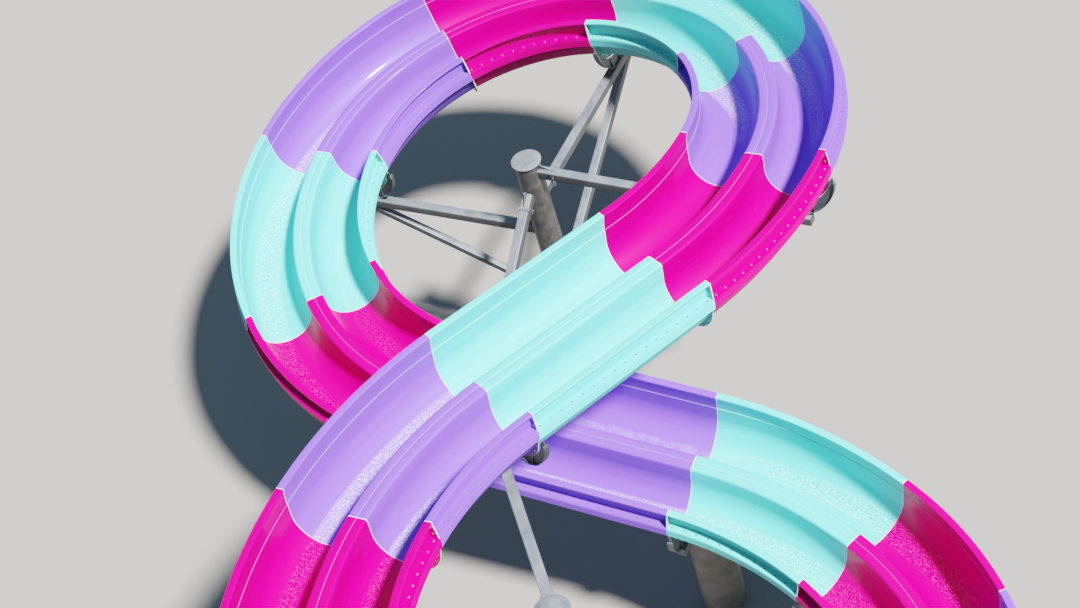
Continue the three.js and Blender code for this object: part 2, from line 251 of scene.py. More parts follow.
def flumeMaterial(colourName):
    look = gelcoat[colourName]
    base = look["tone"]
    mat, tree, shader = newMaterial("gelcoat_" + colourName, gelcoat["roughness"])
    link = tree.links.new

    def times(a, b, clamp=False):
        return math2(tree, "MULTIPLY", a, b, clamp)

    shader.inputs["Specular IOR Level"].default_value = look["specular"]
    shader.inputs["Coat Weight"].default_value = gelcoat["coat"]
    shader.inputs["Coat Roughness"].default_value = gelcoat["coatRoughness"]
    uv = node(tree, "ShaderNodeUVMap", uv_map="run").outputs[0]
    stretch = laidIn(tree, uv, "ShaderNodeMapping", Scale=(7.0, 0.45, 1.0)).outputs[0]
    streaks = laidIn(tree, stretch, "ShaderNodeTexNoise", Scale=1.0, Detail=4.0, Roughness=0.55)
    fine = laidIn(tree, uv, "ShaderNodeMapping", Scale=(60.0, 1.1, 1.0)).outputs[0]
    hair = laidIn(tree, fine, "ShaderNodeTexNoise", Scale=1.0, Detail=3.0, Roughness=0.6)
    cloud = inObject(tree, "ShaderNodeTexNoise", Scale=1.4, Detail=3.0)
    swing = gelcoat["streakDepth"] * look["streak"]
    pale = tuple(c * (1 + swing) for c in base)
    deep = tuple(c * (1 - swing) for c in base)
    tone = ramp(tree, streaks.outputs["Fac"], [(0.30, deep), (0.52, base), (0.78, pale)])
    tone = mixColour(tree, times(cloud.outputs["Fac"], gelcoat["cloudDepth"]), tone, deep)
    # chalky hairlines along the flow, where the surface is rubbed
    rubbed = ramp(tree, hair.outputs["Fac"], [(0.60, black), (0.76, white)])
    tone = mixColour(tree, times(rubbed, gelcoat["hairDepth"] * look["streak"]), tone, look["bead"])
    # painted sheen: the film's reflection is painted by paling the gelcoat toward the light tone, with a
    # painted highlight along its edge
    film = filmOnLane(tree, uv)
    tone = mixColour(tree, times(film, look["paintedSheen"]), tone, look["light"])
    paintedEdgeHighlight = ramp(tree, film, [(0.04, black), (0.16, white), (0.34, black)])
    tone = mixColour(tree, times(paintedEdgeHighlight, look["paintedEdgeHighlight"]), tone, look["light"])
    # painted ripples: painted shade in the troughs and painted glints on the crests
    ripple = laidIn(tree, uv, "ShaderNodeTexNoise", Scale=gelcoat["rippleScale"], Detail=4.0, Roughness=0.6,
                    Distortion=0.8).outputs["Fac"]
    paintedGlintMask = ramp(tree, ripple, [(0.52, black), (0.62, white)])
    paintedShadeMask = ramp(tree, ripple, [(0.37, white), (0.47, black)])
    tone = mixColour(tree, times(film, times(paintedShadeMask, look["paintedTroughShade"]), clamp=True), tone, look["dark"])
    tone = mixColour(tree, times(film, times(paintedGlintMask, look["paintedGlint"]), clamp=True), tone, look["light"])
    # painted shade: the back of the moulding (outside, skirts, underside and joint flanges) is darkened
    # toward a darker copy of the tone, standing in for the shade it lies in
    back = node(tree, "ShaderNodeAttribute", attribute_name="back")
    tone = mixColour(tree, back.outputs["Fac"], tone, tuple(c * gelcoat["backPaintedShade"] for c in base))
    link(tone, shader.inputs["Base Color"])
    # the film is far slicker than the dry wall, the hairlines are duller
    slick = times(film, gelcoat["roughness"] - gelcoat["wetRoughness"])
    rough = math2(tree, "SUBTRACT", gelcoat["roughness"], slick)
    rough = math2(tree, "ADD", rough, times(rubbed, gelcoat["rubbedRoughness"]), clamp=True)
    link(rough, shader.inputs["Roughness"])
    drops = laidIn(tree, uv, "ShaderNodeTexVoronoi", Scale=gelcoat["dropScale"]).outputs["Distance"]
    height = math2(tree, "ADD", times(ripple, film), times(times(drops, film), 0.5))
    height = math2(tree, "ADD", height, times(streaks.outputs["Fac"], 0.05))
    addBump(tree, shader, height, gelcoat["waterBump"], gelcoat["bumpHeight"])
    return mat


# Galvanised steel tones; side sets how dark the painted shade on sides and undersides is
galvanised = {
    "beams": {
        "pale": (0.19, 0.225, 0.26), "grey": (0.14, 0.17, 0.205), "dull": (0.09, 0.115, 0.14),
        "mottle": 3.2, "side": 0.24,
    },
    "columns": {
        "pale": (0.085, 0.088, 0.088), "grey": (0.042, 0.044, 0.044), "dull": (0.020, 0.020, 0.019),
        "mottle": 5.5, "side": 0.8,
    },
    "metallic": 0.25,
    "spangle": 34.0,
    "flakeDim": 0.88,
}


def grey(level):
    return (level, level, level)


def steelMaterial(kind):
    look = galvanised[kind]
    mat, tree, shader = newMaterial("galvanised_" + kind, 0.5, galvanised["metallic"])
    link = tree.links.new
    spangle = inObject(tree, "ShaderNodeTexVoronoi", Scale=galvanised["spangle"])
    mottle = inObject(tree, "ShaderNodeTexNoise", Scale=look["mottle"], Detail=8.0, Roughness=0.65)
    stops = [(0.32, look["dull"]), (0.48, look["grey"]), (0.68, look["pale"])]
    tone = ramp(tree, mottle.outputs["Fac"], stops)
    flakes = ramp(tree, spangle.outputs["Color"], [(0.0, grey(galvanised["flakeDim"])), (1.0, white)])
    tone = mixColour(tree, 1.0, tone, flakes, "MULTIPLY")
    # painted shade: sides and undersides are darkened by how far their normal turns from up, while faces that
    # look up keep the full tone
    parts = node(tree, "ShaderNodeSeparateXYZ")
    link(node(tree, "ShaderNodeNewGeometry").outputs["Normal"], parts.inputs[0])
    paintedSideShade = ramp(tree, parts.outputs["Z"], [(0.0, grey(look["side"])), (0.8, white)])
    tone = mixColour(tree, 1.0, tone, paintedSideShade, "MULTIPLY")
    link(tone, shader.inputs["Base Color"])
    rough = math2(tree, "ADD", math2(tree, "MULTIPLY", mottle.outputs["Fac"], 0.25), 0.36)
    link(rough, shader.inputs["Roughness"])
    addBump(tree, shader, mottle.outputs["Fac"], 0.15, 0.004)
    return mat


def mottledMaterial(name, roughness, metallic, scale, stops):
    mat, tree, shader = newMaterial(name, roughness, metallic)
    mottle = inObject(tree, "ShaderNodeTexNoise", Scale=scale, Detail=4.0)
    tree.links.new(ramp(tree, mottle.outputs["Fac"], stops), shader.inputs["Base Color"])
    return mat


sealant = {"dull": (0.80, 0.82, 0.84), "clean": (0.95, 0.95, 0.97), "jointTint": (0.62, 0.62, 0.64)}


def sealantMaterial(name, tint):
    dull, clean = (tuple(a * b for a, b in zip(sealant[key], tint)) for key in ("dull", "clean"))
    return mottledMaterial(name, 0.45, 0.0, 18.0, [(0.3, dull), (0.7, clean)])


zinc = {"dark": (0.07, 0.075, 0.075), "light": (0.14, 0.145, 0.145)}
concrete = {"damp": (0.10, 0.085, 0.068), "grey": (0.17, 0.145, 0.115), "dry": (0.25, 0.22, 0.18)}


def concreteMaterial():
    mat, tree, shader = newMaterial("cast_concrete", 0.88)
    broad = inObject(tree, "ShaderNodeTexNoise", Scale=2.2, Detail=8.0, Roughness=0.6)
    fine = inObject(tree, "ShaderNodeTexNoise", Scale=60.0, Detail=6.0)
    pits = inObject(tree, "ShaderNodeTexVoronoi", Scale=28.0)
    stops = [(0.3, concrete["damp"]), (0.55, concrete["grey"]), (0.75, concrete["dry"])]
    tone = ramp(tree, broad.outputs["Fac"], stops)
    speck = ramp(tree, fine.outputs["Fac"], [(0.3, grey(0.82)), (0.7, white)])
    tone = mixColour(tree, 1.0, tone, speck, "MULTIPLY")
    hole = ramp(tree, pits.outputs["Distance"], [(0.05, grey(0.55)), (0.14, white)])
    tone = mixColour(tree, 0.6, tone, hole, "MULTIPLY")
    tree.links.new(tone, shader.inputs["Base Color"])
    addBump(tree, shader, math2(tree, "ADD", fine.outputs["Fac"], hole), 0.4, 0.01)
    return mat


# a look is a material with the slot it fills
flumeLooks = {name: (flumeMaterial(name), "gelcoat_" + name) for name in ("magenta", "purple", "aqua")}
steelLook = (steelMaterial("beams"), "galvanised_steel")
columnLook = (steelMaterial("columns"), "galvanised_steel")
zincTones = [(0.35, zinc["dark"]), (0.65, zinc["light"])]
fastenerLook = (mottledMaterial("zinc_fasteners", 0.42, 0.25, 30.0, zincTones), "galvanised_steel")
sealantLook = (sealantMaterial("pale_sealant", sealant["jointTint"]), "gelcoat_aqua")
beadLooks = {}
for name in flumeLooks:
    beadLooks[name] = (sealantMaterial("bead_" + name, gelcoat[name]["bead"]), "gelcoat_" + name)
concreteLook = (concreteMaterial(), "concrete")
print("stage: materials")


class Shape:
    # gathers points and faces of one piece
    def __init__(self):
        self.points, self.faces = [], []

    def add(self, points, faces):
        base = len(self.points)
        self.points += [Vector(p) for p in points]
        self.faces += [tuple(base + i for i in f) for f in faces]

    def extrude(self, rings, capped=True):
        # closed rings of equal length, joined one to the next
        n = len(rings[0])
        points = [p for ring in rings for p in ring]
        faces = []
        for r in range(len(rings) - 1):
            for i in range(n):
                j = (i + 1) % n
                faces.append((r * n + i, r * n + j, (r + 1) * n + j, (r + 1) * n + i))
        if capped:
            faces.append(tuple(reversed(range(n))))
            last = (len(rings) - 1) * n
            faces.append(tuple(last + i for i in range(n)))
        self.add(points, faces)

    def piece(self, name, look, sharp, replaces=()):
        mesh = bpy.data.meshes.new(name)
        mesh.from_pydata(self.points, [], self.faces)
        mesh.validate()
        fixNormals(mesh)
        finishPiece(name, mesh, look, sharp, replaces)


def fixNormals(mesh):
    bm = bmesh.new()
    bm.from_mesh(mesh)
    bmesh.ops.recalc_face_normals(bm, faces=bm.faces)
    bm.to_mesh(mesh)
    bm.free()


def finishPiece(name, mesh, look, sharp, replaces):
    material, slot = look
    for p in mesh.polygons:
        p.use_smooth = True
    mesh.set_sharp_from_angle(angle=math.radians(sharp))
    mesh.materials.append(material)
    piece = newObject(name, mesh)
    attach(piece, "root")
    if replaces:
        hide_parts(*replaces)


up = Vector((0, 0, 1))


def basis(axis, hint=up):
    axis = axis.normalized()
    side = hint.cross(axis)
    if side.length < 1e-4:
        side = Vector((1, 0, 0)).cross(axis)
    side.normalize()
    return axis, side, axis.cross(side)


def circle(centre, axis, radius, sides, start=0.0, hint=up):
    a, s, t = basis(axis, hint)
    ring = []
    for i in range(sides):
        q = start + 2 * math.pi * i / sides
        ring.append(centre + s * (radius * math.cos(q)) + t * (radius * math.sin(q)))
    return ring


def stack(shape, seat, axis, sides, rings, start=0.0, hint=up):
    # round solid on an axis: each ring is its distance from the seat and its radius
    shape.extrude([circle(seat + axis * at, axis, r, sides, start, hint) for at, r in rings])


def roundedRect(width, height, radius, steps=4):
    ring = []
    for cx, cy, a0 in ((1, 1, 0), (-1, 1, 90), (-1, -1, 180), (1, -1, 270)):
        for k in range(steps + 1):
            a = math.radians(a0 + 90 * k / steps)
            x = cx * (width / 2 - radius) + radius * math.cos(a)
            y = cy * (height / 2 - radius) + radius * math.sin(a)
            ring.append((x, y))
    return ring


def beam(shape, start, end, size, radius, chamfer=0.003):
    # square hollow section with rounded corners and closed ends
    axis, side, top = basis(end - start)
    length = (end - start).length
    rings = []
    for at, inset in ((0, chamfer), (chamfer, 0), (length - chamfer, 0), (length, chamfer)):
        ring = roundedRect(size - 2 * inset, size - 2 * inset, radius - inset * 0.5)
        rings.append([start + axis * at + side * x + top * y for x, y in ring])
    shape.extrude(rings)


def tube(shape, start, end, radius, sides, chamfer=0.003):
    length = (end - start).length
    rings = [(0, radius - chamfer), (chamfer, radius), (length - chamfer, radius), (length, radius - chamfer)]
    stack(shape, start, (end - start).normalized(), sides, rings)


def plate(shape, outline, centre, normal, across, thickness, chamfer):
    # flat plate: outline in (across, rise) coordinates, thick along the normal
    normal = normal.normalized()
    across = (across - normal * across.dot(normal)).normalized()
    rise = normal.cross(across)
    cx = sum(p[0] for p in outline) / len(outline)
    cy = sum(p[1] for p in outline) / len(outline)
    half = thickness / 2
    rings = []
    for at, inset in ((-half, chamfer), (-half + chamfer, 0), (half - chamfer, 0), (half, chamfer)):
        ring = []
        for x, y in outline:
            k = 1 - inset / (math.hypot(x - cx, y - cy) or 1)
            ring.append(centre + across * (cx + (x - cx) * k) + rise * (cy + (y - cy) * k) + normal * at)
        rings.append(ring)
    shape.extrude(rings)


bolt = {
    "head": 0.019,
    "cornerRatio": 1.155,
    "headHeight": 0.010,
    "washer": 0.030,
    "washerThick": 0.003,
    "stud": 0.006,
    "studOut": 0.006,
    "sunk": 0.002,
}


def addBolt(shape, seat, axis, scale, turn=0.0, stud=True):
    # washer, hex head and the end of the thread, standing on a face at seat
    axis = axis.normalized()
    hint = Vector((0.3, 0.2, 1))
    w, h = bolt["washerThick"] * scale, bolt["headHeight"] * scale
    top = w + h
    r = bolt["washer"] * scale / 2
    stack(shape, seat, axis, 12, [(-bolt["sunk"], r), (w * 0.7, r), (w, r * 0.93)], 0, hint)
    r = bolt["head"] * scale / 2 * bolt["cornerRatio"]
    stack(shape, seat, axis, 6, [(w * 0.9, r), (top - h * 0.15, r), (top, r * 0.86)], turn, hint)
    if stud:
        r = bolt["stud"] * scale
        end = [(top - bolt["sunk"], r), (top + bolt["studOut"] * scale, r * 0.85)]
        stack(shape, seat, axis, 8, end, 0, hint)


flume = {
    "rimOuter": 1.150,
    "rimInner": 1.036,
    "rimEdge": 0.024,
    "laneCentre": 0.608,
    "laneRadius": 0.455,
    "laneDepth": 0.530,
    "ridgeTop": 0.246,
    "ridgeHalf": 0.148,
    "ridgeRound": 0.044,
    "seamLine": 0.292,
    "wall": 0.009,
    "flangeReach": 1.203,
    "skirtReach": 1.209,
    "skirtBottom": 0.450,
    "endPlateRadius": 0.543,
    "endPlate": 0.009,
    "ringStep": 0.085,
    "seamGap": 0.0006,
    "jointGap": 0.0012,
}


def roundLane(radius, degrees):
    # point at a radius and an angle round the lane's centre
    a = math.radians(degrees)
    return (flume["laneCentre"] + radius * math.cos(a), -flume["laneDepth"] + radius * math.sin(a))


def laneArc(radius, fromAngle, toAngle, steps):
    return [roundLane(radius, fromAngle + (toAngle - fromAngle) * k / steps) for k in range(steps + 1)]


def corner(cx, cy, radius, a0, a1, steps):
    turns = [math.radians(a0 + (a1 - a0) * k / steps) for k in range(steps + 1)]
    return [(cx + radius * math.cos(a), cy + radius * math.sin(a)) for a in turns]


def innerProfile():
    # right half, from the ridge over the lane to the inner lip of the rim
    f = flume
    top, half, rr = f["ridgeTop"], f["ridgeHalf"], f["ridgeRound"]
    pts = [(f["seamGap"], -top - 0.003), (0.004, -top - 0.001), (0.05, -top - 0.001)]
    pts += corner(half - rr, -top - rr, rr, 82, 4, 7)
    pts += [(half + 0.003, -0.42)]
    pts += laneArc(f["laneRadius"], 180, 360, 60)
    pts += [(1.0635, -0.45), (1.0630, -0.36), (1.0625, -0.315)]
    # the small step where the upper wall laps on the lane moulding
    pts += [(1.0622, -f["seamLine"] - 0.006), (1.0665, -f["seamLine"]), (1.0670, -f["seamLine"] + 0.006)]
    pts += [(1.0635, -0.22), (1.0565, -0.14), (1.0475, -0.07), (1.0405, -0.035)]
    pts += corner(f["rimInner"] + 0.022, -0.018, 0.018, 172, 96, 6)
    return pts


def outerProfile():
    # right half, from the rim's outer edge down and back under to the ridge
    f = flume
    t = f["wall"]
    pts = [(f["rimOuter"] - 0.046, 0.0)]
    pts += corner(f["rimOuter"] - 0.012, -0.012, 0.012, 90, 0, 5)
    pts += [(f["rimOuter"], -f["rimEdge"]), (f["rimOuter"] - 0.005, -f["rimEdge"] - 0.001)]
    pts += [(f["rimOuter"] - 0.009, -0.014), (1.115, -0.0095), (1.066, -0.0105), (1.0555, -0.020)]
    pts += [(1.0515, -0.04), (1.0570, -0.075), (1.0655, -0.14), (1.0725, -0.22)]
    # upper flange, lower flange and the ribbed skirt
    fl, sk, seam, foot = f["flangeReach"], f["skirtReach"], -f["seamLine"], -f["skirtBottom"]
    pts += [(1.0765, seam + 0.012), (1.081, seam + 0.002), (1.09, seam), (fl - 0.004, seam)]
    pts += [(fl, seam - 0.003), (fl, seam - 0.008), (fl - 0.005, seam - 0.010), (fl - 0.005, seam - 0.013)]
    pts += [(sk - 0.003, seam - 0.015)]
    y = seam - 0.020
    rib = (seam - foot - 0.026) / 3
    for k in range(3):
        pts += [(sk, y), (sk, y - rib * 0.62), (sk - 0.009, y - rib * 0.80), (sk - 0.009, y - rib * 0.90)]
        y -= rib
    pts += [(sk, foot + 0.006), (sk - 0.003, foot), (sk - 0.012, foot), (sk - 0.018, foot + 0.012)]
    pts += [(sk - 0.020, seam - 0.040), (sk - 0.034, seam - 0.024), (1.095, seam - 0.022)]
    pts += [(1.078, seam - 0.034), (1.0725, -0.40)]
    pts += laneArc(f["laneRadius"] + t, 0, -180, 32)
    top, half = -f["ridgeTop"], f["ridgeHalf"]
    pts += [(half - 0.006, -0.40), (half - 0.008, -0.31), (half - 0.03, top - 0.016), (0.06, top - 0.010)]
    # the inner edge turns down into a lip that meets the other lane's lip
    pts += [(0.018, top - 0.010), (0.011, top - 0.014), (0.010, top - 0.050), (f["seamGap"], top - 0.050)]
    return pts


def mirrored(pts):
    return [(-u, v) for u, v in reversed(pts)]


innerHalf = innerProfile()
outerHalf = outerProfile()
# rim to rim over both lanes, and the closed outline of one lane's moulding
innerLine = mirrored(innerHalf) + innerHalf
laneLoop = innerHalf + outerHalf
# the back of the moulding starts at the skirt's foot
backStart = max(k for k, (u, v) in enumerate(laneLoop) if u > flume["flangeReach"])
endTriangles = tessellate_polygon([[Vector((u, v, 0)) for u, v in laneLoop]])


def endPlatePairs():
    # inner edge on the moulding's back, outer edge of the joint flange
    r0, r1 = flume["laneRadius"] + 0.006, flume["endPlateRadius"]
    pairs = [
        ((1.052, -0.012), (1.139, -0.012)), ((1.055, -0.08), (1.156, -0.08)),
        ((1.066, -0.19), (1.178, -0.19)), ((1.0755, -0.286), (1.190, -0.286)),
        ((1.073, -0.33), (1.1985, -0.318)), ((1.072, -0.45), (1.2015, -0.446)),
        ((1.0715, -0.49), (1.180, -0.49)), ((1.070, -0.53), (1.157, -0.53)),
    ]
    pairs += [(roundLane(r0, a), roundLane(r1, a)) for a in range(-8, -171, -9)]
    pairs += [((0.146, -0.53), (0.066, -0.545)), ((0.144, -0.36), (0.063, -0.40))]
    pairs += [((0.110, -0.265), (0.055, -0.318)), ((0.002, -0.258), (0.002, -0.306))]
    return pairs


# Film of water in each lane, 1 the left and -1 the right: place along the run in sections, its middle
# round the lane in degrees (-90 is the lowest line, -180 the ridge side), its half width and its strength
film = {
    1: [
        (0, -67, 16, 1), (1, -70, 13, 1), (2, -73, 12, 1), (2.02, -73, 11, 0.5), (2.9, -76, 9, 0.3),
        (3.2, -78, 8, 0), (4.3, -95, 10, 0), (4.6, -106, 16, 0.6), (5, -92, 30, 1), (5.5, -92, 32, 1),
        (5.9, -104, 26, 0.5), (6.3, -104, 20, 0), (8.2, -100, 14, 0), (8.6, -100, 16, 0.4), (9, -95, 18, 0.5),
        (9.5, -82, 18, 0.6), (10, -80, 18, 0.4), (10.4, -84, 13, 0.2), (11, -84, 12, 0.2),
        (11.3, -76, 16, 0.5), (11.7, -72, 21, 0.9), (12, -68, 25, 1), (13, -64, 25, 1), (14, -60, 22, 1),
    ],
    -1: [
        (0, -128, 12, 1), (1, -124, 9, 1), (1.4, -121, 5, 0.8), (1.6, -120, 4, 0), (4.2, -85, 10, 0),
        (4.6, -82, 18, 0.5), (5, -80, 27, 1), (5.5, -88, 30, 1), (6, -102, 24, 0.4), (6.6, -90, 12, 0.3),
        (7, -84, 11, 1), (7.5, -84, 13, 1), (8, -78, 20, 1), (8.4, -66, 26, 1), (9, -58, 32, 1),
        (9.5, -62, 27, 1), (10, -74, 20, 0.9), (10.4, -99, 13, 1), (11, -101, 13, 1), (11.3, -102, 18, 0.8),
        (11.6, -98, 27, 1), (12, -101, 29, 1), (12.5, -112, 24, 1), (13, -114, 24, 1), (14, -118, 24, 1),
    ],
}


def filmAt(lane, at):
    keys = film[lane]
    for a, b in zip(keys, keys[1:]):
        if at <= b[0]:
            q = max(0.0, (at - a[0]) / (b[0] - a[0]))
            return [x + (y - x) * q for x, y in zip(a[1:], b[1:])]
    return keys[-1][1:]


def wetness(u, v, middle, spread, strength):
    du, dv = abs(u) - flume["laneCentre"], v + flume["laneDepth"]
    if abs(u) < flume["ridgeHalf"] + 0.004 or v > -0.33:
        return 0.0
    angle = math.degrees(math.atan2(dv, du)) if dv < 0 else (dv * 120 if du > 0 else -180 - dv * 120)
    return strength * max(0.0, 1.0 - (abs(angle - middle) / (spread + 2)) ** 4)


def sweepLane(i, lane):
    # one lane's moulding of section i; lane is 1 for the left and -1 for the right
    colour, length, _ = sections[i]
    loop = laneLoop if lane > 0 else [(-u, v) for u, v in laneLoop]
    n = len(loop)
    arc = [0.0]
    for a, b in zip(loop, loop[1:] + loop[:1]):
        arc.append(arc[-1] + math.hypot(b[0] - a[0], b[1] - a[1]))
    gap = flume["jointGap"]
    count = max(2, round(length / flume["ringStep"]))
    stations = [gap + (length - 2 * gap) * k / count for k in range(count + 1)]
    points, wet, back, faces, uvs = [], [], [], [], []
    for s in stations:
        cf = frameAt(i, s)
        here = filmAt(lane, i + s / length)
        for k, (u, v) in enumerate(loop):
            points.append(place(cf, u, v))
            wet.append(wetness(u, v, *here) if k < len(innerHalf) else 0.0)
            # painted shade mask: the back of the moulding is marked 1
            back.append(1.0 if k > backStart else 0.0)
    for r in range(len(stations) - 1):
        for k in range(n):
            m = (k + 1) % n
            faces.append((r * n + k, (r + 1) * n + k, (r + 1) * n + m, r * n + m))
            s0, s1 = stations[r], stations[r + 1]
            uvs.append(((arc[k], s0), (arc[k], s1), (arc[k + 1], s1), (arc[k + 1], s0)))
    for r in (0, len(stations) - 1):
        for tri in endTriangles:
            faces.append(tuple(r * n + k for k in (tri if r else tri[::-1])))
            uvs.append(tuple(loop[q % n] for q in faces[-1]))
    # joint flanges at both ends
    thick = flume["endPlate"]
    full = [((lane * a[0], a[1]), (lane * b[0], b[1])) for a, b in endPlatePairs()]
    for s0 in (gap, length - gap - thick):
        base = len(points)
        c0, c1 = frameAt(i, s0), frameAt(i, s0 + thick)
        for cf in (c0, c1):
            for a, b in full:
                points.append(place(cf, *a))
                points.append(place(cf, *b))
                wet.extend((0.0, 0.0))
                # the joint flanges take most of the painted shade
                back.extend((0.7, 0.7))
        m = len(full)
        o = 2 * m
        for k in range(m - 1):
            p, q = base + 2 * k, base + 2 * (k + 1)
            faces += [(p, q, q + 1, p + 1), (p + o, p + 1 + o, q + 1 + o, q + o)]
            faces += [(p + 1, q + 1, q + 1 + o, p + 1 + o), (p, p + o, q + o, q)]
            uvs += [(full[k][0], full[k + 1][0], full[k + 1][1], full[k][1])] * 4
        e0, e1 = base, base + 2 * (m - 1)
        faces += [(e0, e0 + 1, e0 + 1 + o, e0 + o), (e1, e1 + o, e1 + 1 + o, e1 + 1)]
        uvs += [((0, 0),) * 4] * 2
    side = "left" if lane > 0 else "right"
    mesh = bpy.data.meshes.new(f"shell_{i + 1:02d}_{side}")
    mesh.from_pydata(points, [], faces)
    layer = mesh.uv_layers.new(name="run")
    for index, xy in enumerate(xy for corners in uvs for xy in corners):
        layer.data[index].uv = xy
    for label, values in (("wet", wet), ("back", back)):
        mesh.attributes.new(label, "FLOAT", "POINT").data.foreach_set("value", values)
    fixNormals(mesh)
    label, solid = f"flume_shell_{i + 1:02d}_{side}", f"flume_{i + 1:02d}_{colour}_{side}"
    finishPiece(label, mesh, flumeLooks[colour], 32, (solid,))


for i in range(len(sections)):
    sweepLane(i, 1)
    sweepLane(i, -1)
print("stage: flume shells")

# Pale sealant in every joint, on the lane side and round the joint flanges
seal = {"half": 0.007, "proud": 0.0025, "outerHalf": 0.010, "outerProud": 0.002, "into": 0.004}
endSeal = {**seal, "half": 0.004, "proud": 0.0003, "outerHalf": 0.004, "back": 0.006}


def offsetLine(line, distance):
    out = []
    for k, (x, y) in enumerate(line):
        a = line[max(0, k - 1)]
        b = line[min(len(line) - 1, k + 1)]
        tx, ty = b[0] - a[0], b[1] - a[1]
        d = math.hypot(tx, ty) or 1
        out.append((x - ty / d * distance, y + tx / d * distance))
    return out


def ribbon(shape, cf, line, half, out, into):
    # raised strip along a line of the cross-section, across the joint plane
    rings = []
    for a, b in zip(offsetLine(line, out), offsetLine(line, -into)):
        low = [place(cf, *b, -half), place(cf, *b, half)]
        rings.append(low + [place(cf, *a, half * 0.6), place(cf, *a, -half * 0.6)])
    shape.extrude(rings)


def sealJoint(i):
    last = len(joints) - 1
    look = seal if 0 < i < last else endSeal
    cf = crossFrame(joints[i])
    if look is endSeal:
        # the run's own ends: the seal sits back inside the moulding
        cf = (cf[0] + cf[1] * (look["back"] if i == 0 else -look["back"]), *cf[1:])
    lip = [(flume["rimOuter"] - 0.046, 0.0)] + corner(flume["rimOuter"] - 0.012, -0.012, 0.012, 90, 0, 4)
    lip += [(flume["rimOuter"], -flume["rimEdge"])]
    shape = Shape()
    ribbon(shape, cf, mirrored(lip) + innerLine + lip, look["half"], look["proud"], look["into"])
    right = [b for a, b in endPlatePairs()]
    for line in (right, mirrored(right)):
        ribbon(shape, cf, line, look["outerHalf"], look["outerProud"], look["into"])
    shape.piece(f"joint_seal_{i:02d}", sealantLook, 40)


for i in range(len(joints)):
    sealJoint(i)

# Bead of sealant where the two lanes' mouldings meet along the ridge, and along the seam of each wall
bead = {
    "half": 0.0035,
    "proud": 0.0025,
    "seamHalf": 0.0045,
    "seamProud": 0.003,
    "seamAcross": 1.0645,
    "step": 0.12,
    "back": 0.004,
}


def layBead(i):
    colour, length, _ = sections[i]
    count = max(2, round(length / bead["step"]))
    h, z, top = bead["half"], -flume["ridgeTop"] - 0.001, bead["proud"] - flume["ridgeTop"] - 0.001
    ridge = [(-h, z - 0.003), (h, z - 0.003), (h, z), (h * 0.5, top), (-h * 0.5, top), (-h, z)]
    h, v, u, out = bead["seamHalf"], -flume["seamLine"] - 0.002, bead["seamAcross"], bead["seamProud"]
    seam = [(u + 0.004, v - h), (u - 0.001, v - h), (u - out, v - h * 0.4)]
    seam += [(u - out, v + h * 0.4), (u - 0.001, v + h), (u + 0.004, v + h)]
    shape = Shape()
    for section in (ridge, seam, [(-x, y) for x, y in seam]):
        rings = []
        for k in range(count + 1):
            cf = frameAt(i, bead["back"] + (length - 2 * bead["back"]) * k / count)
            rings.append([place(cf, x, y) for x, y in section])
        shape.extrude(rings)
    shape.piece(f"ridge_bead_{i + 1:02d}", beadLooks[colour], 40)


for i in range(len(sections)):
    layBead(i)
print("stage: joint seals")

# Bolts along the two long flanges and round the joint flanges
flangeBolts = {
    "size": 0.95,
    "spacing": 0.19,
    "endSpace": 0.08,
    "acrossFlange": 1.143,
    "ringRadius": 0.503,
    "ringStep": 18,
    "upper": ((1.112, -0.10), (1.125, -0.21)),
}


def boltFlanges(i):
    _, length, turn = sections[i]
    across, size, endSpace = (flangeBolts[key] for key in ("acrossFlange", "size", "endSpace"))
    shape = Shape()
    for sideSign in (1, -1):
        # the flange on the outside of a bend is longer and takes more bolts
        stretch = 1 - sideSign * across * turn / length
        count = round((length - 2 * endSpace) * stretch / flangeBolts["spacing"])
        for k in range(count + 1):
            cf = frameAt(i, endSpace + (length - 2 * endSpace) * k / count)
            seat = place(cf, sideSign * across, -flume["seamLine"])
            addBolt(shape, seat, cf[3], size, turn=k * 0.7, stud=False)
    plateFace = flume["jointGap"] + flume["endPlate"]
    for s, away in ((plateFace, 1), (length - plateFace, -1)):
        cf = frameAt(i, s)
        for sideSign in (1, -1):
            for a in range(-12, -170, -flangeBolts["ringStep"]):
                u, v = roundLane(flangeBolts["ringRadius"], a)
                addBolt(shape, place(cf, sideSign * u, v), cf[1] * away, size, turn=a, stud=away > 0)
            for u, v in flangeBolts["upper"]:
                addBolt(shape, place(cf, sideSign * u, v), cf[1] * away, size, stud=away > 0)
    shape.piece(f"flange_bolts_{i + 1:02d}", fastenerLook, 30)


for i in range(len(sections)):
    boltFlanges(i)
print("stage: flume bolts")

steel = {
    "column": 0.215,
    "cap": 0.249,
    "capThick": 0.016,
    "arm": 0.160,
    "armReach": 4.86,
    "plate": 0.012,
    "basePlate": 0.030,
    "centralTop": 5.334,
    "saddleDepth": 1.260,
    "saddleHalf": 0.045,
    "gap": 0.0003,
    "crossbeamHalf": 0.899,
    "footPlate": 0.758,
    "footGusset": 0.20,
    "footReach": 0.345,
    "anchorSize": 1.9,
    "anchorRings": (0.315, 0.43),
}
saddleShift = {0: 0.0, 2: 0.040, 4: -0.030, 6: -0.040, 8: 0.060, 10: 0.060, 11: 0.050, 12: 0.0, 14: 0.0}


def footPoint(i):
    return place(crossFrame(joints[i]), 0, -steel["saddleDepth"], saddleShift[i])


def footHeight(i):
    cf = crossFrame(joints[i])
    return place(cf, 0, -steel["saddleDepth"], saddleShift[i] + steel["saddleHalf"]).z - steel["gap"]


def smoothPoint(p0, p1, p2, p3, t):
    # point between p1 and p2 of a curve that passes through both
    point = []
    for a, b, c, d in zip(p0, p1, p2, p3):
        square, cube = 2 * a - 5 * b + 4 * c - d, 3 * b - a - 3 * c + d
        point.append(0.5 * (2 * b + (c - a) * t + square * t * t + cube * t ** 3))
    return tuple(point)


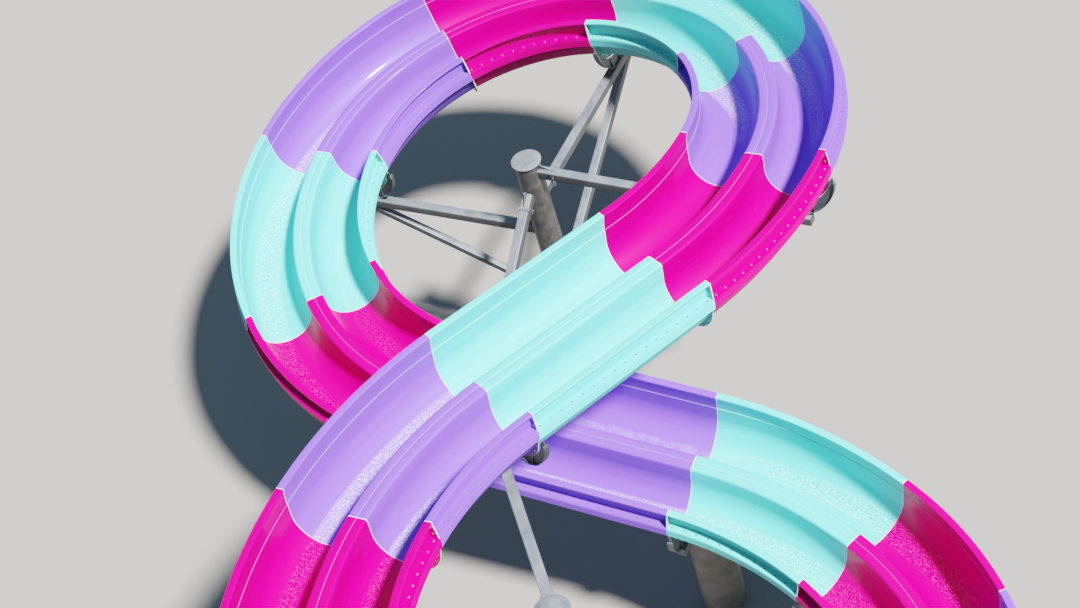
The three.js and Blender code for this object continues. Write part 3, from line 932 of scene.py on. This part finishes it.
def saddleOutline():
    # half outline of the cradle's web: inner edge under the flange, outer edge round to the foot
    inner = [(0.0, -0.70), (0.071, -0.68)]
    inner += [roundLane(cradle["innerRadius"], a) for a in range(-166, -11, 7)]
    tip = [(1.1545, -0.571), (1.193, -0.533), (1.221, -0.490)]
    key = [(1.2375, -0.56), (1.2435, -0.66), (1.2100, -0.808)]
    key += [(1.120, -0.978), (0.979, -1.135), (0.787, -1.2485)]
    outer = []
    for k in range(len(key) - 1):
        around = (key[max(0, k - 1)], key[k], key[k + 1], key[min(len(key) - 1, k + 2)])
        outer += [smoothPoint(*around, t) for t in (0, 0.25, 0.5, 0.75)]
    return inner, tip, outer + [key[-1]]


def pointAlong(line, share):
    # point at a share of the line's length
    lengths = [math.hypot(b[0] - a[0], b[1] - a[1]) for a, b in zip(line, line[1:])]
    want = share * sum(lengths)
    for a, b, length in zip(line, line[1:], lengths):
        if want <= length + 1e-9:
            q = want / max(1e-9, length)
            return (a[0] + (b[0] - a[0]) * q, a[1] + (b[1] - a[1]) * q)
        want -= length
    return line[-1]


def strip(shape, cf, sideSign, pairs, w0, w1):
    # bar between two lines of a joint's plane, from w0 to w1 along the flow
    rings = []
    for a, b in pairs:
        corners = ((a, w0), (a, w1), (b, w1), (b, w0))
        rings.append([place(cf, sideSign * u, v, w) for (u, v), w in corners])
    shape.extrude(rings)


cradle = {
    "innerRadius": 0.5465,
    "flange": 0.010,
    "footDepth": 0.0115,
    "webSteps": 44,
    "stiffeners": ((0.30, -1.00), (0.608, -1.083), (0.90, -1.00)),
    "outerStiffenerFoot": -1.185,
    "stiffenerHalf": 0.005,
    "bolts": (0.45, 0.75),
    "boltOff": 0.027,
    "boltSize": 0.95,
}


def buildSaddle(i):
    shape = Shape()
    cf = crossFrame(joints[i])
    w0 = saddleShift[i]
    inner, tip, outer = saddleOutline()
    half = steel["saddleHalf"] - 0.001
    web = steel["plate"] / 2
    foot = cradle["footDepth"] - steel["saddleDepth"]
    outerSide = tip[-1:] + outer + [(0.55, foot), (0.3, foot), (0.0, foot)]
    innerSide = tip[::-1] + inner[::-1]
    shares = [k / cradle["webSteps"] for k in range(cradle["webSteps"] + 1)]
    webPairs = [(pointAlong(outerSide, t), pointAlong(innerSide, t)) for t in shares]
    first = webPairs[0][0]
    webPairs[0] = (first, (first[0] - 0.004, first[1] - 0.003))
    # edge flange: the flat bar bent round the outer edge
    edge = outer[1:] + [(0.55, foot), (0.0, foot)]
    edgePairs = list(zip(edge, offsetLine(edge, cradle["flange"])))
    for sideSign in (1, -1):
        strip(shape, cf, sideSign, webPairs, w0 - web, w0 + web)
        strip(shape, cf, sideSign, edgePairs, w0 - half, w0 + half)
        # stiffeners between the foot and the web's inner edge
        for u, top in cradle["stiffeners"]:
            low = foot if u < 0.8 else cradle["outerStiffenerFoot"]
            outline = [(low, web), (low, half - 0.004), (top - 0.03, half * 0.45), (top, web)]
            for face in (1, -1):
                rings = []
                for du in (-cradle["stiffenerHalf"], cradle["stiffenerHalf"]):
                    rings.append([place(cf, sideSign * (u + du), v, w0 + face * w) for v, w in outline])
                shape.extrude(rings)
        # bolts through the foot
        for u in cradle["bolts"]:
            for face in (1, -1):
                seat = place(cf, sideSign * u, foot, w0 + face * cradle["boltOff"])
                addBolt(shape, seat, cf[3], cradle["boltSize"], turn=u)
    shape.piece(f"cradle_{i:02d}", steelLook, 30, (f"saddle_{i:02d}",))


for i in saddleShift:
    buildSaddle(i)
print("stage: cradles")


def buildFoot(name, at):
    # square base plate with gussets and anchor bolts
    base, radius, reach = steel["basePlate"], steel["column"], steel["footReach"]
    square = roundedRect(steel["footPlate"], steel["footPlate"], 0.03)
    high, into = base + steel["footGusset"], radius - 0.002
    gusset = [(into, base), (reach, base), (reach, base + 0.03), (radius + 0.03, high), (into, high)]
    foot = Shape()
    plate(foot, square, at + up * (base / 2), up, Vector((1, 0, 0)), base - 0.001, 0.003)
    for k in range(8):
        q = math.radians(45 * k + 22.5)
        out = Vector((math.cos(q), math.sin(q), 0))
        across = Vector((-out.y, out.x, 0))
        foot.extrude([[at + out * a + up * b + across * t for a, b in gusset] for t in (-0.006, 0.006)])
    for k in range(8):
        q = math.radians(45 * k)
        r = steel["anchorRings"][k % 2]
        seat = at + Vector((math.cos(q) * r, math.sin(q) * r, base - 0.001))
        addBolt(foot, seat, up, steel["anchorSize"], turn=q)
    foot.piece(name + "_foot", steelLook, 35)


def buildLid(name, seat):
    # round cap plate with a fillet weld under it
    cap, thick, radius = steel["cap"], steel["capThick"], steel["column"]
    lid = Shape()
    rings = [(0, cap - 0.003), (0.003, cap), (thick - 0.003, cap), (thick - 0.0005, cap - 0.004)]
    stack(lid, seat, up, 96, rings)
    weld = [(-0.009, radius + 0.0005), (-0.003, radius + 0.004), (0.001, radius + 0.010)]
    stack(lid, seat, up, 96, weld)
    lid.piece(name + "_lid", steelLook, 40, (name + "_cap",))


def buildColumn(name, x, y, top, cap):
    shape = Shape()
    at = Vector((x, y, 0))
    tube(shape, at + up * (steel["basePlate"] + 0.0005), at + up * top, steel["column"], 64)
    shape.piece(name + "_shaft", columnLook, 40, (name,))
    buildFoot(name, at)
    if cap:
        buildLid(name, at + up * (top + steel["gap"]))


# Arms: a stub with gussets is welded on the column, and the arm is bolted on its flange plate
stub = {
    "reach": 0.455,
    "sideReach": 0.330,
    "flange": 0.2035,
    "flangeThick": 0.0155,
    "gussetHeight": 0.090,
    "gusset": 0.012,
    "weld": 0.006,
    "corner": 0.016,
    "boltRow": 0.0905,
    "boltSize": 0.95,
}


def weldedBar(shape, start, end, size, weldStart=True, weldEnd=True):
    # square tube whose ends flare into a fillet weld
    axis, side, top = basis(end - start)
    length = (end - start).length
    w = stub["weld"]
    first, last = (w if welded else -0.002 for welded in (weldStart, weldEnd))
    steps = [(0, first), (w * 1.3, 0), (length - w * 1.3, 0), (length, last)]
    rings = []
    for at, grow in steps:
        ring = roundedRect(size + 2 * grow, size + 2 * grow, stub["corner"] + max(0, grow), 5)
        rings.append([start + axis * at + side * x + top * y for x, y in ring])
    shape.extrude(rings)


def flangePlate(shape, centre, axis, across, face):
    # plate with eight bolts round its edge, heads on the side that face names
    size, thick = stub["flange"], stub["flangeThick"]
    plate(shape, roundedRect(size, size, 0.010), centre, axis, across, thick, 0.001)
    rise = axis.cross(across)
    row = stub["boltRow"]
    for x, y in ((-1, -1), (0, -1), (1, -1), (-1, 0), (1, 0), (-1, 1), (0, 1), (1, 1)):
        seat = centre + across * (x * row) + rise * (y * row) + axis * (face * thick / 2)
        addBolt(shape, seat, axis * face, stub["boltSize"], turn=x + y * 0.4, stud=face > 0)


class ArmLine:
    # an arm leaves the column at root; with a join it slopes as far as its elbow and is level from there
    def __init__(self, column, target, rootLevel, headLevel, reach, join):
        self.away = Vector((target.x - column.x, target.y - column.y, 0)).normalized()
        self.across = Vector((-self.away.y, self.away.x, 0))
        self.root = Vector((column.x, column.y, rootLevel)) + self.away * steel["column"]
        head = Vector((column.x, column.y, headLevel))
        self.elbow = head + self.away * join if join else self.root + self.away
        self.tip = head + self.away * reach
        self.axis = (self.elbow - self.root).normalized()
        self.rise = self.axis.cross(self.across)

    def at(self, along, rise, across):
        return self.root + self.axis * along + self.rise * rise + self.across * across

    def mitre(self, p):
        # point of the line through p along the arm that lies on the elbow's plane
        turn = (self.axis + self.away).normalized()
        return p + self.axis * ((self.elbow - p).dot(turn) / self.axis.dot(turn))


def addGussets(bracket, line, length, size):
    for face in (1, -1):
        low = size / 2 - 0.004
        high = low + stub["gussetHeight"]
        end = length - stub["flangeThick"]
        outline = [(-0.03, low), (end, low), (end, low + 0.008), (0.004, high), (-0.03, high)]
        rings = []
        for t, inset in ((-0.5, 0.001), (-0.42, 0), (0.42, 0), (0.5, 0.001)):
            across = stub["gusset"] * t
            rings.append([line.at(a, face * (b - inset), across) for a, b in outline])
        bracket.extrude(rings)
        # weld beads along its foot
        near, far, foot = stub["gusset"] / 2, stub["gusset"] / 2 + stub["weld"], low + 0.004
        for sideSign in (1, -1):
            rings = []
            for a in (0.004, end):
                triangle = ((near, foot), (far, foot), (near, foot + stub["weld"]))
                rings.append([line.at(a, face * y, sideSign * x) for x, y in triangle])
            bracket.extrude(rings)


def addRootWeld(bracket, line, size):
    # weld round the root, lying on the tube
    rings = []
    for x, y in roundedRect(size, size, stub["corner"], 5):
        out = Vector((x, y, 0))
        under, grown = out * 0.99, out * (1 + 2 * stub["weld"] / size)
        ring = []
        for q, lift in ((under, 0.012), (under, -0.004), (grown, -0.004), (grown, 0.001), (out, 0.009)):
            sag = steel["column"] - math.sqrt(steel["column"] ** 2 - min(abs(q.x), 0.2) ** 2)
            ring.append(line.root + line.across * q.x + line.rise * q.y + line.away * (lift - sag))
        rings.append(ring)
    bracket.extrude(rings + rings[:1], capped=False)


def addElbow(arm, line, start, size):
    # sloping part mitred into the level head, with a bead round the mitre
    weld = stub["weld"]
    grow = 1 + 2 * weld / size
    rings = [[], [], [], [], []]
    for x, y in roundedRect(size, size, stub["corner"], 5):
        p = start + line.across * x + line.rise * y
        q = line.tip + line.across * x + Vector((0, 0, y))
        rings[0].append(start + line.across * (x * grow) + line.rise * (y * grow))
        rings[1].append(p + line.axis * weld * 1.3)
        rings[2].append(line.mitre(p))
        rings[3].append(q - line.away * 0.010)
        rings[4].append(q - line.away * 0.007)
    arm.extrude(rings)
    seam = []
    for x, y in roundedRect(size + 0.004, size + 0.004, stub["corner"], 5):
        off = line.across * x + line.rise * y
        m = line.mitre(start + off)
        seam.append([m - line.axis * 0.006 - off * 0.03, m, m + line.away * 0.006 - off * 0.03])
    arm.extrude(seam + seam[:1], capped=False)


def buildArm(i, column, rootLevel, reach, join=0.0, flangeAt=stub["reach"]):
    headLevel = footHeight(i) - steel["arm"] / 2
    line = ArmLine(column, footPoint(i), rootLevel or headLevel, headLevel, reach, join)
    away, across, root, axis, tip = line.away, line.across, line.root, line.axis, line.tip
    thick = stub["flangeThick"]
    length = flangeAt - steel["column"]
    size = steel["arm"] - 0.001
    bracket = Shape()
    weldedBar(bracket, root - axis * 0.02, root + axis * (length - thick), size, weldStart=False)
    flangePlate(bracket, root + axis * (length - thick / 2 - 0.0002), axis, across, -1)
    addGussets(bracket, line, length, size)
    addRootWeld(bracket, line, size)
    bracket.piece(f"arm_stub_{i:02d}_bracket", steelLook, 30, (f"arm_stub_{i:02d}",))

    arm = Shape()
    face = root + axis * (length + steel["gap"])
    flangePlate(arm, face + axis * (thick / 2 + 0.0004), axis, across, 1)
    start = face + axis * thick
    if join:
        addElbow(arm, line, start, size)
    else:
        weldedBar(arm, start, tip - away * 0.007, size, weldEnd=False)
    plate(arm, roundedRect(size, size, stub["corner"]), tip - away * 0.0045, away, across, 0.008, 0.0015)
    arm.piece(f"arm_{i:02d}_bar", steelLook, 30, (f"arm_{i:02d}",))


buildColumn("central_column", 0, 0, steel["centralTop"], True)
centre = Vector((0, 0, 0))
for i in (4, 6, 8):
    buildArm(i, centre, None, steel["armReach"])
# the arm to the underpass joint slopes down into a level head
slopedArm = {"rootBelowRim": 2.37, "join": 2.90}
buildArm(10, centre, run["bridgeRimHeight"] - slopedArm["rootBelowRim"], steel["armReach"], slopedArm["join"])

# Side column: its place from the third joint, its top below the bridge's rim, and its two arms
sideColumn = {"back": 1.55, "right": 2.88, "topBelowRim": 1.13, "pastFoot": 0.86, "joins": {2: 0.0, 0: 2.15}}
side = Vector((joints[2][0] - sideColumn["back"], joints[2][1] - sideColumn["right"], 0))
buildColumn("side_column", side.x, side.y, run["bridgeRimHeight"] - sideColumn["topBelowRim"], True)
for i, join in sideColumn["joins"].items():
    reach = math.dist(footPoint(i).xy, side.xy) + sideColumn["pastFoot"]
    buildArm(i, side, footHeight(2) - steel["arm"] / 2, reach, join, stub["sideReach"])
print("stage: columns and arms")

# Raking braces: bar size, foot and head below the bridge's rim, and how far out the head stands
braces = {
    6: {"size": 0.150, "foot": 4.62, "reach": 3.50, "head": 2.88},
    8: {"size": 0.125, "foot": 5.03, "reach": 3.45, "head": 3.50},
}


def buildBrace(i):
    # raking brace, cut level under the arm and round on the column
    brace = braces[i]
    rimHeight = run["bridgeRimHeight"]
    target = footPoint(i)
    away = Vector((target.x, target.y, 0)).normalized()
    across = Vector((-away.y, away.x, 0))
    start = away * (steel["column"] + 0.025) + up * (rimHeight - brace["foot"])
    end = away * brace["reach"] + up * (rimHeight - brace["head"])
    axis = (end - start).normalized()
    tall = axis.cross(across)
    if tall.z < 0:
        tall = -tall
    under = footHeight(i) - steel["arm"] - steel["gap"] - 0.001
    size = brace["size"] - 0.001
    shape = Shape()
    rings = [[], [], [], [], []]
    for x, y in roundedRect(size, size, stub["corner"], 5):
        p = start + across * x + tall * y
        sag = steel["column"] - math.sqrt(steel["column"] ** 2 - x ** 2)
        t0 = (steel["column"] - sag + 0.001 - p.dot(away)) / axis.dot(away)
        t1 = (under - p.z) / axis.z
        out = (across * x + tall * y) * (2 * stub["weld"] / size)
        rings[0].append(p + axis * (t0 - 0.004) + out)
        rings[1].append(p + axis * (t0 + stub["weld"]))
        rings[2].append(p + axis * ((t0 + t1) / 2))
        rings[3].append(p + axis * (t1 - stub["weld"]))
        rings[4].append(p + axis * (t1 - 0.0005) + (out - up * out.z))
    shape.extrude(rings)
    shape.piece(f"brace_{i:02d}_bar", steelLook, 30, (f"brace_{i:02d}",))


buildBrace(6)
buildBrace(8)


def buildCrossbeam(i):
    # level beam across both lanes under a cradle's foot
    left = crossFrame(joints[i])[2]
    a, b = (footPoint(i) + left * (steel["crossbeamHalf"] * end) for end in (-1, 1))
    a.z = b.z = footHeight(i) - steel["arm"] / 2
    shape = Shape()
    beam(shape, a, b, steel["arm"] - 0.001, 0.018)
    shape.piece(f"crossbeam_{i}_bar", steelLook, 30)


buildCrossbeam(11)
for i in (12, 14):
    buildCrossbeam(i)
    foot = footPoint(i)
    buildColumn(f"exit_column_{i}", foot.x, foot.y, footHeight(i) - steel["arm"], False)

# Concrete pier, and the steel head that carries its crossbeam
pier = {
    "radius": 0.35,
    "top": 2.0,
    "foot": 0.03,
    "edge": 0.02,
    "stub": 0.135,
    "plate": 0.458,
    "plateThick": 0.029,
    "boltOff": 0.175,
    "boltSize": 1.6,
}


def buildPier():
    at = Vector((*footPoint(11).xy, 0))
    radius, small, top, edge = pier["radius"], pier["foot"], pier["top"], pier["edge"]
    # eased foot, straight shaft and a bevelled top
    profile = [(0.0, radius - small)]
    for k in range(1, 7):
        a = math.radians(15 * k)
        profile.append((small * (1 - math.cos(a)), radius - small + small * math.sin(a)))
    profile += [(z, radius) for z in (0.4, 0.8, 1.2, 1.6, top - edge)] + [(top, radius - edge)]
    shape = Shape()
    stack(shape, at, up, 72, profile)
    shape.piece("pier_cast", concreteLook, 40, ("pier_11",))
    base = Shape()
    z = top + steel["gap"]
    across = Vector((math.cos(joints[11][3]), math.sin(joints[11][3]), 0))
    square = roundedRect(pier["plate"], pier["plate"], 0.02)
    plate(base, square, at + up * (z + 0.015), up, across, pier["plateThick"], 0.003)
    for sx in (-1, 1):
        for sy in (-1, 1):
            off = (across * sx + across.cross(up) * sy) * pier["boltOff"]
            addBolt(base, at + off + up * (z + pier["plateThick"]), up, pier["boltSize"])
    base.piece("pier_head_foot", steelLook, 30)
    post = Shape()
    tube(post, at + up * (z + 0.0310), at + up * (footHeight(11) - steel["arm"] - 0.001), pier["stub"], 40)
    post.piece("pier_head_tube", columnLook, 40, ("pier_head_11",))


buildPier()
print("stage: braces, crossbeams and pier")

studio = {
    "floor": (0.21, 0.21, 0.21),
    "floorReach": 90,
    "skyTint": (0.42, 0.73, 1.0),
    "sky": 0.34,
    "sunTint": (1.0, 0.94, 0.87),
    "sun": 17.8,
    "sunSoftness": 5.0,
    "sunFrom": (0.13, -0.74, 1.0),
    "shoulder": 0.6,
    "brightest": 10.0,
}


def buildStudio():
    mesh = bpy.data.meshes.new("studio_floor")
    reach = studio["floorReach"]
    square = [(-reach, -reach, 0), (reach, -reach, 0), (reach, reach, 0), (-reach, reach, 0)]
    mesh.from_pydata(square, [], [(0, 1, 2, 3)])
    floor = newObject("studio_floor", mesh)
    mat, tree, shader = newMaterial("studio_floor", 0.9)
    shader.inputs["Base Color"].default_value = (*studio["floor"], 1)
    mesh.materials.append(mat)
    world = bpy.data.worlds.new("studio")
    bpy.context.scene.world = world
    world.use_nodes = True
    background = world.node_tree.nodes["Background"]
    background.inputs["Color"].default_value = (*studio["skyTint"], 1)
    background.inputs["Strength"].default_value = studio["sky"]
    lamp = bpy.data.lights.new("key", "SUN")
    lamp.energy = studio["sun"]
    lamp.color = studio["sunTint"]
    lamp.angle = math.radians(studio["sunSoftness"])
    key = newObject("key", lamp)
    key.rotation_euler = Vector(studio["sunFrom"]).to_track_quat("Z", "Y").to_euler()


buildStudio()

camera = {
    "position": (-11.8057, -20.3772, 26.8786),
    "yaw": 0.5039,
    "pitch": -0.8121,
    "roll": -0.3134,
    "sensor": 36,
    "lens": 65.785,
}


def buildCamera():
    yaw, pitch, roll = camera["yaw"], camera["pitch"], camera["roll"]
    look = Vector((math.sin(yaw) * math.cos(pitch), math.cos(yaw) * math.cos(pitch), math.sin(pitch)))
    right = Vector((math.cos(yaw), -math.sin(yaw), 0))
    top = right.cross(look)
    rolledRight = right * math.cos(roll) + top * math.sin(roll)
    rolledTop = top * math.cos(roll) - right * math.sin(roll)
    data = bpy.data.cameras.new("camera")
    data.sensor_width = camera["sensor"]
    data.lens = camera["lens"]
    data.clip_end = 400
    cam = newObject("camera", data)
    turn = Matrix((rolledRight, rolledTop, -look)).transposed().to_4x4()
    turn.translation = Vector(camera["position"])
    cam.matrix_world = turn
    bpy.context.scene.camera = cam


buildCamera()


def setTone():
    # camera-like shoulder: sunlit gelcoat goes pale while the shade stays deep
    view = bpy.context.scene.view_settings
    view.view_transform = "Standard"
    view.look = "None"
    view.use_curve_mapping = True
    brightest, shoulder = studio["brightest"], studio["shoulder"]
    view.curve_mapping.white_level = (brightest, brightest, brightest)
    points = view.curve_mapping.curves[3].points
    # scene level and how far the highlight is lifted over the plain shoulder
    levels = [(x, 0) for x in (0.03, 0.08, 0.18, 0.35, 0.6, 1.0)]
    levels += [(1.6, 0.015), (2.5, 0.04), (4.0, 0.055), (6.5, 0.06)]
    for x, lift in levels:
        points.new(x / brightest, x / (x + shoulder) + lift)
    points[-1].location = (1.0, 1.0)
    for p in points:
        p.handle_type = "AUTO_CLAMPED"
    view.curve_mapping.update()


setTone()
print("stage: floor, light and camera")
